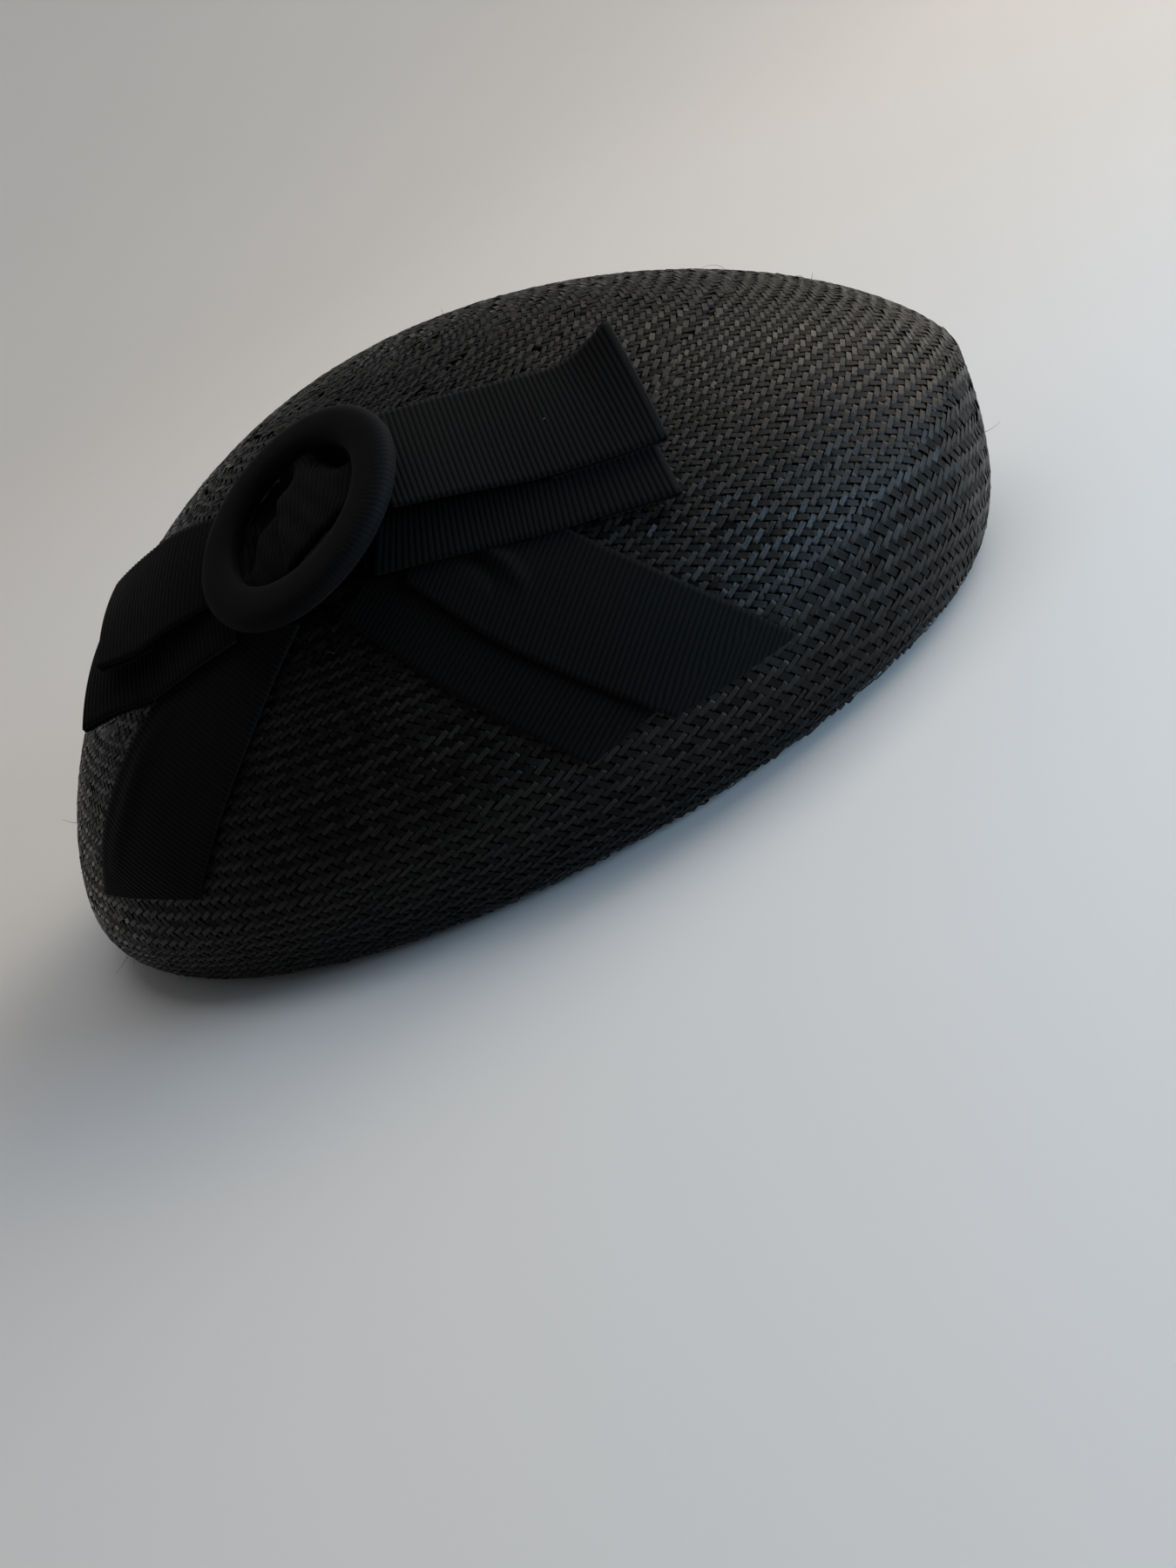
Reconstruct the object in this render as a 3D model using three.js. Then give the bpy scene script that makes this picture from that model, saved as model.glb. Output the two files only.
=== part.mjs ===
import * as THREE from 'three';

// A domed hat of woven straw with a flat ribbon bow drawn through a covered ring.
// Millimetres. +X is the front, +Z is up, and the rim rests on z = 0 with the origin at its middle.

// Straw body
const halfLength = 150;
const halfWidth = 117;
const widestHeight = 34;    // mean height of the widest line above the rim
const frontRise = 17;       // the widest line climbs this much to the front and falls as much to the back
const crownRise = 88;       // top of the crown above the widest line
const crownLean = -0.2;     // the crown leans to the back by this share of its height
const planPower = 1.9;      // how full the crown stays towards its top
const shoulderPower = 1.4;  // how round the crown turns over at the shoulder
const rimShare = 0.87;      // plan size of the rim as a share of the widest line
const strawWall = 2;
const lipWidth = 5;         // flat turned-in lip that the hat rests on
const bodySides = 60;
const crownRows = 13;
const edgeRows = 5;
const seatRounds = 4;       // steps that bring a point down onto the straw
const gradientReach = 0.02;
const smallestShare = 1e-6; // keeps the surface's slope defined on the crown's axis
const lowestDrop = 0.9999;  // and at the rim

// Bow
const bowX = -25.5;         // the ring's middle in plan
const bowY = -64.4;
const bowSearch = 0.75;     // share of the crown's rise where the search for the bow's seat starts
const ribbonThickness = 1;
const ribbonStrips = 4;     // facets across a ribbon
const stationStep = 5;      // facet length along a ribbon
const foldRadius = 0.7;     // half the distance between the two layers of a loop
const foldBends = [45, 90, 135];
const walkStep = 4;

// Ring
const ringRadius = 26;      // to the middle of its section
const ringHalfBand = 5.5;
const ringHalfHeight = 3;
const ringLift = 10.5;
const ringForward = -0.9;   // the ring's place beside the bow's middle, to the front and up the crown
const ringUpward = 2.5;
const ringTiltBack = 9;     // degrees, its front edge stands higher than its back edge
const ringTiltSide = 9;     // degrees, its lower edge stands higher than its upper edge
const ringSides = 40;
const ringSectionSides = 12;

// Knot, the gathered stretch of ribbon that swells up through the ring
const knot = {
  heading: -8,
  middle: 1.5,
  halfLength: 16.5,
  halfWidth: 12,
  foot: 1.1,
  swell: 11,
  fullness: 0.8,
  roundOver: 0.4,
  gathers: 4,
  gatherDepth: 0.7,
};
const knotStations = 14;
const knotStrips = 16;

// Ribbons start at the ring's middle and run over the straw along a heading, in degrees from the front.
// along: distance from the ring's middle, skew: how far the left edge runs ahead of the right one,
// left and right: the two edges beside the heading, liftLeft and liftRight: heights above the straw.
const loopRightUpper = {
  heading: -2,
  backTo: 60,
  sections: [
    { along: 26, skew: 0, left: 18, right: -12.5, liftLeft: 12.2, liftRight: 12.8 },
    { along: 43, skew: 0, left: 16.5, right: -15, liftLeft: 8.4, liftRight: 9 },
    { along: 57, skew: 0, left: 14.3, right: -17.6, liftLeft: 7.6, liftRight: 7.6 },
    { along: 75, skew: -2, left: 12.3, right: -19, liftLeft: 8.6, liftRight: 7.8 },
    { along: 88, skew: -3, left: 16.2, right: -18.6, liftLeft: 14.5, liftRight: 8.4 },
  ],
};
const loopRightLower = {
  heading: -11,
  backTo: 70,
  sections: [
    { along: 24, skew: 0, left: 13, right: -20, liftLeft: 6, liftRight: 5.2 },
    { along: 40, skew: 0, left: 13, right: -21, liftLeft: 4.3, liftRight: 4.3 },
    { along: 60, skew: 0, left: 13, right: -21.6, liftLeft: 4.2, liftRight: 4.2 },
    { along: 76, skew: -5, left: 13.5, right: -20, liftLeft: 4.3, liftRight: 4.5 },
    { along: 88, skew: -8, left: 14.5, right: -18.6, liftLeft: 5, liftRight: 5 },
  ],
};
const loopLeftUpper = {
  heading: 160,
  backTo: 54,
  sections: [
    { along: 31, skew: 0, left: 10, right: -16.5, liftLeft: 5.15, liftRight: 4.75 },
    { along: 45, skew: 0, left: 13.5, right: -16.5, liftLeft: 8.5, liftRight: 6.8 },
    { along: 60, skew: -5, left: 16, right: -16.5, liftLeft: 10, liftRight: 6.8 },
    { along: 74, skew: -11, left: 16, right: -16.5, liftLeft: 13.5, liftRight: 6.8 },
  ],
};
const loopLeftLower = {
  heading: 166,
  backTo: 62,
  sections: [
    { along: 32, skew: 0, left: 20, right: -14, liftLeft: 3.8, liftRight: 3.2 },
    { along: 46, skew: 0, left: 20.5, right: -14, liftLeft: 4, liftRight: 3.8 },
    { along: 60, skew: 0, left: 21, right: -14, liftLeft: 4.4, liftRight: 4 },
    { along: 72, skew: -2, left: 20, right: -14, liftLeft: 8.5, liftRight: 4.6 },
    { along: 84, skew: -4, left: 20, right: -14, liftLeft: 12.4, liftRight: 5.2 },
  ],
};
const tailRightUpper = {
  heading: -47,
  sections: [
    { along: 40, skew: 0, left: 17, right: -8.5, liftLeft: 2.5, liftRight: 2.5 },
    { along: 55, skew: 0, left: 19, right: -12.6, liftLeft: 2.5, liftRight: 2.5 },
    { along: 73, skew: 4, left: 17.5, right: -14.6, liftLeft: 2.4, liftRight: 2.4 },
    { along: 97, skew: 14, left: 15.3, right: -15.3, liftLeft: 2.4, liftRight: 2.6 },
    { along: 115.5, skew: 23, left: 14.6, right: -14.5, liftLeft: 3.2, liftRight: 4 },
  ],
};
const tailRightLower = {
  heading: -59,
  sections: [
    { along: 24, skew: 4, left: 17, right: -15, liftLeft: 1, liftRight: 1 },
    { along: 54, skew: 0, left: 16.5, right: -17.4, liftLeft: 1, liftRight: 1 },
    { along: 78, skew: 6, left: 17, right: -16.5, liftLeft: 1, liftRight: 1 },
    { along: 100, skew: 12, left: 19, right: -14.9, liftLeft: 1.2, liftRight: 1.6 },
  ],
};
const tailLeft = {
  heading: 205,
  sections: [
    { along: 36, skew: -20, left: 12, right: -14, liftLeft: 1.4, liftRight: 1.6 },
    { along: 58, skew: -6, left: 14.6, right: -20.5, liftLeft: 1.2, liftRight: 2.2 },
    { along: 80, skew: 0, left: 15.5, right: -22.5, liftLeft: 1, liftRight: 4.2 },
    { along: 98, skew: -8, left: 15.8, right: -22.5, liftLeft: 1, liftRight: 4.2 },
    { along: 111, skew: -22, left: 15.5, right: -21, liftLeft: 1, liftRight: 2.2 },
  ],
};

const strawMaterial = new THREE.MeshStandardMaterial({ color: 0x1b1918, roughness: 0.55, metalness: 0 });
const ribbonMaterial = new THREE.MeshStandardMaterial({ color: 0x111319, roughness: 0.8, metalness: 0 });
const ringMaterial = new THREE.MeshStandardMaterial({ color: 0x101116, roughness: 0.85, metalness: 0 });

// The straw's outer surface

function widestLevel(x) {
  return widestHeight + frontRise * x / halfLength;
}

function planPoint(share, angle) {
  return [halfLength * share * Math.cos(angle), halfWidth * share * Math.sin(angle)];
}

// drop is 0 at the top of the crown, 1 at the widest line and 2 at the rim
function bodyPoint(drop, angle) {
  if (drop <= 1) {
    const share = Math.sin(drop * Math.PI / 2);
    const [x, y] = planPoint(share, angle);
    const rise = crownRise * (1 - share ** planPower) ** (1 / shoulderPower);
    return new THREE.Vector3(x + crownLean * rise, y, widestLevel(x) + rise);
  }
  const turn = (drop - 1) * Math.PI / 2;
  const [x, y] = planPoint(rimShare + (1 - rimShare) * Math.cos(turn), angle);
  const level = widestLevel(halfLength * Math.cos(angle));
  return new THREE.Vector3(x, y, level * (1 - Math.sin(turn)));
}

// Zero on the straw's outer surface, positive outside it
function strawField(point) {
  const rise = (point.z - widestLevel(point.x)) / (1 - frontRise * crownLean / halfLength);
  const unleantX = point.x - crownLean * Math.max(rise, 0);
  const share = Math.max(Math.hypot(unleantX / halfLength, point.y / halfWidth), smallestShare);
  if (rise >= 0) {
    return share ** planPower + (rise / crownRise) ** shoulderPower - 1;
  }
  const drop = Math.min(1 - point.z / widestLevel(point.x / share), lowestDrop);
  const edge = rimShare + (1 - rimShare) * Math.sqrt(1 - drop * drop);
  return (share / edge) ** planPower - 1;
}

function strawGradient(point) {
  const gradient = new THREE.Vector3();
  for (const axis of ['x', 'y', 'z']) {
    const ahead = point.clone();
    const behind = point.clone();
    ahead[axis] += gradientReach;
    behind[axis] -= gradientReach;
    gradient[axis] = (strawField(ahead) - strawField(behind)) / (2 * gradientReach);
  }
  return gradient;
}

function strawNormal(point) {
  return strawGradient(point).normalize();
}

function seatOnStraw(point) {
  const seated = point.clone();
  for (let round = 0; round < seatRounds; round += 1) {
    const gradient = strawGradient(seated);
    seated.addScaledVector(gradient, -strawField(seated) / gradient.lengthSq());
  }
  return seated;
}

// Walks straight on over the curved straw
function walkOnStraw(start, direction, distance) {
  const steps = Math.max(1, Math.ceil(Math.abs(distance) / walkStep));
  let point = start.clone();
  const ahead = direction.clone();
  for (let step = 0; step < steps; step += 1) {
    point = seatOnStraw(point.addScaledVector(ahead, distance / steps));
    const normal = strawNormal(point);
    ahead.addScaledVector(normal, -ahead.dot(normal)).normalize();
  }
  return { point, ahead };
}

const bowMiddle = seatOnStraw(new THREE.Vector3(bowX, bowY, widestLevel(bowX) + crownRise * bowSearch));
const bowUp = strawNormal(bowMiddle);
const bowFront = new THREE.Vector3(1, 0, 0).addScaledVector(bowUp, -bowUp.x).normalize();
const bowSide = bowUp.clone().cross(bowFront);

// The place that lies along and across a heading from the ring's middle, lift above the straw
function placeOnStraw(heading, along, across, lift) {
  const turn = THREE.MathUtils.degToRad(heading);
  const direction = bowFront.clone().multiplyScalar(Math.cos(turn)).addScaledVector(bowSide, Math.sin(turn));
  const middle = walkOnStraw(bowMiddle, direction, along);
  const sideways = strawNormal(middle.point).cross(middle.ahead);
  const foot = walkOnStraw(middle.point, sideways, across).point;
  return foot.clone().addScaledVector(strawNormal(foot), lift);
}

// Closed meshes

function signedVolume(points, triangles) {
  let volume = 0;
  for (const [a, b, c] of triangles) {
    volume += points[a].dot(points[b].clone().cross(points[c]));
  }
  return volume / 6;
}

function closedGeometry(points, triangles) {
  const outward = signedVolume(points, triangles) > 0;
  const index = triangles.flatMap(([a, b, c]) => (outward ? [a, b, c] : [a, c, b]));
  const geometry = new THREE.BufferGeometry().setFromPoints(points);
  geometry.setIndex(index);
  geometry.computeVertexNormals();
  return geometry;
}

// A sheet of even thickness about a grid of middle points, rows[station][strip]
function sheetGeometry(rows, thickness) {
  const stations = rows.length;
  const strips = rows[0].length;
  const upper = [];
  const lower = [];
  rows.forEach((row, i) => row.forEach((point, j) => {
    const along = rows[Math.min(i + 1, stations - 1)][j].clone().sub(rows[Math.max(i - 1, 0)][j]);
    const across = row[Math.min(j + 1, strips - 1)].clone().sub(row[Math.max(j - 1, 0)]);
    const normal = along.cross(across).normalize();
    upper.push(point.clone().addScaledVector(normal, thickness / 2));
    lower.push(point.clone().addScaledVector(normal, -thickness / 2));
  }));
  const under = upper.length;
  const at = (i, j) => i * strips + j;
  const triangles = [];
  const quad = (a, b, c, d) => triangles.push([a, b, c], [a, c, d]);
  for (let i = 0; i < stations - 1; i += 1) {
    for (let j = 0; j < strips - 1; j += 1) {
      quad(at(i, j), at(i + 1, j), at(i + 1, j + 1), at(i, j + 1));
      quad(under + at(i, j), under + at(i, j + 1), under + at(i + 1, j + 1), under + at(i + 1, j));
    }
    const last = strips - 1;
    quad(at(i, 0), under + at(i, 0), under + at(i + 1, 0), at(i + 1, 0));
    quad(at(i, last), at(i + 1, last), under + at(i + 1, last), under + at(i, last));
  }
  for (let j = 0; j < strips - 1; j += 1) {
    const last = stations - 1;
    quad(at(0, j), at(0, j + 1), under + at(0, j + 1), under + at(0, j));
    quad(at(last, j), under + at(last, j), under + at(last, j + 1), at(last, j + 1));
  }
  return closedGeometry([...upper, ...lower], triangles);
}

// The straw body, an even wall from the top of the crown to the turned-in lip

function outwardNormal(drop, angle) {
  const reach = 0.01;
  const down = bodyPoint(Math.min(drop + reach, 2), angle).sub(bodyPoint(Math.max(drop - reach, 0), angle));
  const around = bodyPoint(drop, angle + reach).sub(bodyPoint(drop, angle - reach));
  return down.cross(around).normalize();
}

function strawShell() {
  const drops = [];
  for (let row = 1; row <= crownRows; row += 1) {
    drops.push(row / crownRows);
  }
  for (let row = 1; row <= edgeRows; row += 1) {
    drops.push(1 + row / edgeRows);
  }
  const angles = Array.from({ length: bodySides }, (_, side) => 2 * Math.PI * side / bodySides);
  const outer = drops.map((drop) => angles.map((angle) => bodyPoint(drop, angle)));
  const inner = drops.map((drop, row) => angles.map((angle, side) => {
    const normal = drop === 2 ? new THREE.Vector3(0, 0, -1) : outwardNormal(drop, angle);
    return outer[row][side].clone().addScaledVector(normal, -strawWall);
  }));
  const lip = (height) => angles.map((angle) => new THREE.Vector3(
    (halfLength * rimShare - lipWidth) * Math.cos(angle),
    (halfWidth * rimShare - lipWidth) * Math.sin(angle),
    height,
  ));
  const rings = [...outer, lip(0), lip(strawWall), ...inner.reverse()];
  const top = bodyPoint(0, 0);
  const points = [...rings.flat(), top, top.clone().addScaledVector(strawNormal(top), -strawWall)];
  const triangles = [];
  const at = (ring, side) => ring * bodySides + side % bodySides;
  for (let side = 0; side < bodySides; side += 1) {
    for (let ring = 0; ring < rings.length - 1; ring += 1) {
      triangles.push([at(ring, side), at(ring + 1, side), at(ring + 1, side + 1)]);
      triangles.push([at(ring, side), at(ring + 1, side + 1), at(ring, side + 1)]);
    }
    triangles.push([points.length - 2, at(0, side), at(0, side + 1)]);
    triangles.push([points.length - 1, at(rings.length - 1, side + 1), at(rings.length - 1, side)]);
  }
  return closedGeometry(points, triangles);
}

// Ribbons

const columns = ['skew', 'left', 'right', 'liftLeft', 'liftRight'];

function sectionTable(sections) {
  const alongs = sections.map((section) => section.along);
  const values = sections.flatMap((section) => columns.map((column) => section[column]));
  const table = new THREE.CubicInterpolant(alongs, values, columns.length);
  return (along) => {
    const row = table.evaluate(THREE.MathUtils.clamp(along, alongs[0], alongs.at(-1)));
    return Object.fromEntries(columns.map((column, k) => [column, row[k]]));
  };
}

// One row of middle points across a ribbon, lowered below its upper layer by drop
function ribbonRow(heading, section, along, drop) {
  return Array.from({ length: ribbonStrips + 1 }, (_, strip) => {
    const share = strip / ribbonStrips;
    const across = THREE.MathUtils.lerp(section.left, section.right, share);
    const lift = THREE.MathUtils.lerp(section.liftLeft, section.liftRight, share) - drop;
    return placeOnStraw(heading, along + section.skew * (0.5 - share), across, lift);
  });
}

function ribbonRows({ heading, sections, backTo }) {
  const start = sections[0].along;
  const end = sections.at(-1).along - (backTo ? foldRadius : 0);
  const sectionAt = sectionTable(sections);
  const rows = [];
  const addRun = (from, to, drop) => {
    const steps = Math.ceil(Math.abs(to - from) / stationStep);
    for (let step = 0; step <= steps; step += 1) {
      const along = THREE.MathUtils.lerp(from, to, step / steps);
      rows.push(ribbonRow(heading, sectionAt(along), along, drop));
    }
  };
  addRun(start, end, 0);
  if (backTo) {
    for (const bend of foldBends) {
      const turn = THREE.MathUtils.degToRad(bend);
      const along = end + foldRadius * Math.sin(turn);
      rows.push(ribbonRow(heading, sectionAt(end), along, foldRadius * (1 - Math.cos(turn))));
    }
    addRun(end, backTo, 2 * foldRadius);
  }
  return rows;
}

function ribbon(spec) {
  return sheetGeometry(ribbonRows(spec), ribbonThickness);
}

// The gathered knot swells from foot to foot, with soft folds that run along it
function knotRibbon() {
  const rows = [];
  for (let station = 0; station <= knotStations; station += 1) {
    const along = 2 * station / knotStations - 1;
    const swell = Math.cos(along * Math.PI / 2) ** knot.fullness;
    rows.push(Array.from({ length: knotStrips + 1 }, (_, strip) => {
      const across = 2 * strip / knotStrips - 1;
      const round = 1 - knot.roundOver * across ** 2;
      const gather = knot.gatherDepth * Math.cos(Math.PI * knot.gathers * across);
      const lift = knot.foot + swell * (knot.swell * round + gather);
      return placeOnStraw(knot.heading, knot.middle + knot.halfLength * along, -knot.halfWidth * across, lift);
    }));
  }
  return sheetGeometry(rows, ribbonThickness);
}

// The ring is a flattened hoop
function buckleRing() {
  const points = [];
  const triangles = [];
  const at = (side, turn) => (side % ringSides) * ringSectionSides + turn % ringSectionSides;
  for (let side = 0; side < ringSides; side += 1) {
    const angle = 2 * Math.PI * side / ringSides;
    for (let turn = 0; turn < ringSectionSides; turn += 1) {
      const bend = 2 * Math.PI * turn / ringSectionSides;
      const reach = ringRadius + ringHalfBand * Math.cos(bend);
      points.push(new THREE.Vector3(
        reach * Math.cos(angle),
        reach * Math.sin(angle),
        ringHalfHeight * Math.sin(bend),
      ));
      triangles.push([at(side, turn), at(side + 1, turn), at(side + 1, turn + 1)]);
      triangles.push([at(side, turn), at(side + 1, turn + 1), at(side, turn + 1)]);
    }
  }
  return closedGeometry(points, triangles);
}

function named(name, geometry, material) {
  const mesh = new THREE.Mesh(geometry, material);
  mesh.name = name;
  return mesh;
}

const hat = new THREE.Group();
hat.add(named('straw_shell', strawShell(), strawMaterial));

const bow = new THREE.Group();
const ribbons = {
  loop_right_upper: loopRightUpper,
  loop_right_lower: loopRightLower,
  loop_left_upper: loopLeftUpper,
  loop_left_lower: loopLeftLower,
  tail_right_upper: tailRightUpper,
  tail_right_lower: tailRightLower,
  tail_left: tailLeft,
};
for (const [name, spec] of Object.entries(ribbons)) {
  bow.add(named(name, ribbon(spec), ribbonMaterial));
}
bow.add(named('knot_ribbon', knotRibbon(), ribbonMaterial));
hat.add(bow);

const ringSeat = new THREE.Group();
ringSeat.position.copy(bowMiddle).addScaledVector(bowUp, ringLift);
ringSeat.position.addScaledVector(bowFront, ringForward).addScaledVector(bowSide, ringUpward);
ringSeat.quaternion.setFromRotationMatrix(new THREE.Matrix4().makeBasis(bowFront, bowSide, bowUp));
const ring = named('buckle_ring', buckleRing(), ringMaterial);
ring.rotation.set(
  THREE.MathUtils.degToRad(-ringTiltSide),
  THREE.MathUtils.degToRad(-ringTiltBack),
  0,
);
ringSeat.add(ring);
hat.add(ringSeat);

export default hat;
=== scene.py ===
import math

import bpy
import numpy as np
from mathutils import Matrix, Vector


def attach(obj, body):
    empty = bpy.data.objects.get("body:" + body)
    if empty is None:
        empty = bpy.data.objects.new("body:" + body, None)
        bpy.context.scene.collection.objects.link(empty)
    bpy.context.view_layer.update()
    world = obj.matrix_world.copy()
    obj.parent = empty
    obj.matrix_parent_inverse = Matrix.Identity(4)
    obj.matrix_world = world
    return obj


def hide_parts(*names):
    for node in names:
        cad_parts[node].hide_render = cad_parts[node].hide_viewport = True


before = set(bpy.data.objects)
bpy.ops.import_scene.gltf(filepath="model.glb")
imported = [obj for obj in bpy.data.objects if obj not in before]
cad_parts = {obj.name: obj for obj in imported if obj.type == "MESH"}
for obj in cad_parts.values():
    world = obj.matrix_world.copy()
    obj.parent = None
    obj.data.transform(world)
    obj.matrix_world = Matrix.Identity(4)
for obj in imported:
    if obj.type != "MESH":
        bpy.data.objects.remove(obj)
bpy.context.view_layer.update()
scene = bpy.context.scene
mm = 0.001
print("frame loaded,", len(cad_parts), "nodes")


# Node trees: a wire is one socket, and sums on wires add their own nodes

class Wire:
    def __init__(self, sheet, socket):
        self.sheet = sheet
        self.socket = socket

    def maths(self, operation, *values):
        return self.sheet.add("ShaderNodeMath", {"operation": operation}, dict(enumerate(values)))

    def __add__(self, other):
        return self.maths("ADD", self, other)

    def __radd__(self, other):
        return self.maths("ADD", other, self)

    def __sub__(self, other):
        return self.maths("SUBTRACT", self, other)

    def __rsub__(self, other):
        return self.maths("SUBTRACT", other, self)

    def __mul__(self, other):
        return self.maths("MULTIPLY", self, other)

    def __rmul__(self, other):
        return self.maths("MULTIPLY", other, self)

    def __truediv__(self, other):
        return self.maths("DIVIDE", self, other)

    def __rtruediv__(self, other):
        return self.maths("DIVIDE", other, self)

    def __pow__(self, other):
        return self.maths("POWER", self, other)

    def size(self):
        return self.maths("ABSOLUTE", self)

    def sine(self):
        return self.maths("SINE", self)


class NodeSheet:
    def __init__(self, tree):
        self.tree = tree

    def add(self, kind, settings=None, sockets=None, output=0):
        node = self.tree.nodes.new(kind)
        for key, value in (settings or {}).items():
            setattr(node, key, value)
        for key, value in (sockets or {}).items():
            if isinstance(value, Wire):
                self.tree.links.new(value.socket, node.inputs[key])
            else:
                node.inputs[key].default_value = value
        self.last = node
        return Wire(self, node.outputs[output]) if len(node.outputs) else None

    def other(self, output):
        return Wire(self, self.last.outputs[output])


def newMaterial(name):
    material = bpy.data.materials.new(name)
    material.use_nodes = True
    tree = material.node_tree
    tree.nodes.clear()
    return material, NodeSheet(tree)


def finishMaterial(sheet, sockets, fixed):
    surface = sheet.add("ShaderNodeBsdfPrincipled", None, {**fixed, **sockets})
    sheet.add("ShaderNodeOutputMaterial", None, {"Surface": surface})


def noise(sheet, scale, detail):  # on the piece's own place
    place = sheet.add("ShaderNodeTexCoord", None, None, output=3)
    return sheet.add("ShaderNodeTexNoise", None, {"Vector": place, "Scale": scale, "Detail": detail})


def bumpOf(sheet, finish, height):
    return sheet.add("ShaderNodeBump", None, {
        "Strength": finish["bump"], "Distance": finish["bumpDepth"], "Height": height,
    })


def tint(sheet, factor, dark, light):
    return sheet.add(
        "ShaderNodeMix", {"data_type": "RGBA"}, {"Factor": factor, 6: (*dark, 1), 7: (*light, 1)}, output=2
    )


# Straw body, in millimetres: the same rounded oval as the solid

dome = {
    "halfLength": 150, "halfWidth": 117, "widestHeight": 34, "frontRise": 17, "crownRise": 88,
    "crownLean": -0.2, "planPower": 1.9, "shoulderPower": 1.4, "rimShare": 0.87, "wall": 2.0, "lip": 5.0,
}


def widestLevel(x):
    return dome["widestHeight"] + dome["frontRise"] * x / dome["halfLength"]


def bodyPoint(drop, angle):  # drop is 0 at the top, 1 at the widest line, 2 at the rim
    drop, angle = np.broadcast_arrays(np.asarray(drop, float), np.asarray(angle, float))
    upper = drop <= 1
    share = np.sin(np.clip(drop, 0, 1) * math.pi / 2)
    turn = (np.clip(drop, 1, 2) - 1) * math.pi / 2
    share = np.where(upper, share, dome["rimShare"] + (1 - dome["rimShare"]) * np.cos(turn))
    x = dome["halfLength"] * share * np.cos(angle)
    y = dome["halfWidth"] * share * np.sin(angle)
    rise = dome["crownRise"] * np.clip(1 - share ** dome["planPower"], 0, 1) ** (1 / dome["shoulderPower"])
    rise = np.where(upper, rise, 0)
    low = widestLevel(dome["halfLength"] * np.cos(angle)) * (1 - np.sin(turn))
    z = np.where(upper, widestLevel(x) + rise, low)
    return np.stack([x + dome["crownLean"] * rise, y, z], -1)


def strawField(point):  # zero on the straw, positive outside it
    x, y, z = point[..., 0], point[..., 1], point[..., 2]
    rise = (z - widestLevel(x)) / (1 - dome["frontRise"] * dome["crownLean"] / dome["halfLength"])
    high = np.maximum(rise, 0)
    share = np.hypot((x - dome["crownLean"] * high) / dome["halfLength"], y / dome["halfWidth"])
    share = np.maximum(share, 1e-6)
    crown = share ** dome["planPower"] + (high / dome["crownRise"]) ** dome["shoulderPower"] - 1
    drop = np.clip(1 - z / widestLevel(x / share), -0.9999, 0.9999)
    edge = dome["rimShare"] + (1 - dome["rimShare"]) * np.sqrt(1 - drop ** 2)
    return np.where(rise >= 0, crown, (share / edge) ** dome["planPower"] - 1)


def strawGradient(point):
    reach = 0.02
    steps = np.eye(3) * reach
    return np.stack([(strawField(point + s) - strawField(point - s)) / (2 * reach) for s in steps], -1)


def unit(vectors):
    return vectors / np.maximum(np.linalg.norm(vectors, axis=-1, keepdims=True), 1e-12)


def strawNormal(point):
    return unit(strawGradient(point))


def seatOnStraw(point, rounds=3):
    for _ in range(rounds):
        slope = strawGradient(point)
        point = point - slope * (strawField(point) / (slope ** 2).sum(-1))[..., None]
    return point


def walkOnStraw(point, ahead, distance, stride=5.0):
    steps = max(1, math.ceil(np.abs(distance).max() / stride))
    for _ in range(steps):
        point = seatOnStraw(point + ahead * (distance / steps)[..., None], 2)
        normal = strawNormal(point)
        ahead = unit(ahead - normal * (ahead * normal).sum(-1, keepdims=True))
    return point, ahead


bow = {"x": -25.5, "y": -64.4, "search": 0.75}
bowHeight = widestLevel(bow["x"]) + dome["crownRise"] * bow["search"]
bowMiddle = seatOnStraw(np.array([bow["x"], bow["y"], bowHeight]), 8)
bowUp = strawNormal(bowMiddle)
bowFront = unit(np.array([1.0, 0, 0]) - bowUp * bowUp[0])
bowSide = np.cross(bowUp, bowFront)


def placeOnStraw(heading, along, across, lift):
    turn = math.radians(heading)
    shape = np.shape(along)
    along, across, lift = (np.ravel(v).astype(float) for v in np.broadcast_arrays(along, across, lift))
    start = np.tile(bowMiddle, (len(along), 1))
    ahead = np.tile(bowFront * math.cos(turn) + bowSide * math.sin(turn), (len(along), 1))
    middle, ahead = walkOnStraw(start, ahead, along)
    sideways = np.cross(strawNormal(middle), ahead)
    foot, _ = walkOnStraw(middle, sideways, across)
    return (foot + strawNormal(foot) * lift[:, None]).reshape(*shape, 3)


# Meshes

def meshObject(name, points, faces, material=None, smooth=True):
    mesh = bpy.data.meshes.new(name)
    corners = np.asarray(points).reshape(-1, 3) * mm
    mesh.from_pydata(corners.tolist(), [], [list(map(int, face)) for face in faces])
    mesh.polygons.foreach_set("use_smooth", [smooth] * len(mesh.polygons))
    if material:
        mesh.materials.append(material)
    mesh.update()
    piece = bpy.data.objects.new(name, mesh)
    scene.collection.objects.link(piece)
    return piece


def setAttribute(piece, name, kind, values):
    field = {"FLOAT": "value", "FLOAT_VECTOR": "vector"}[kind]
    layer = piece.data.attributes.new(name, kind, "POINT")
    layer.data.foreach_set(field, np.asarray(values, np.float32).ravel())


def gridFaces(rows, columns, closedAcross=False):
    across = columns if closedAcross else columns - 1
    i, j = np.meshgrid(np.arange(rows - 1), np.arange(across), indexing="ij")
    here, below = i * columns, (i + 1) * columns
    following = (j + 1) % columns
    return np.stack([here + j, below + j, below + following, here + following], -1).reshape(-1, 4)


def asPlainMesh(piece):  # the evaluated shape becomes the piece's own mesh
    graph = bpy.context.evaluated_depsgraph_get()
    shape = piece.evaluated_get(graph)
    plain = bpy.data.meshes.new_from_object(shape, preserve_all_data_layers=True, depsgraph=graph)
    plain.name = piece.name
    piece.modifiers.clear()
    piece.data = plain
    return piece


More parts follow.
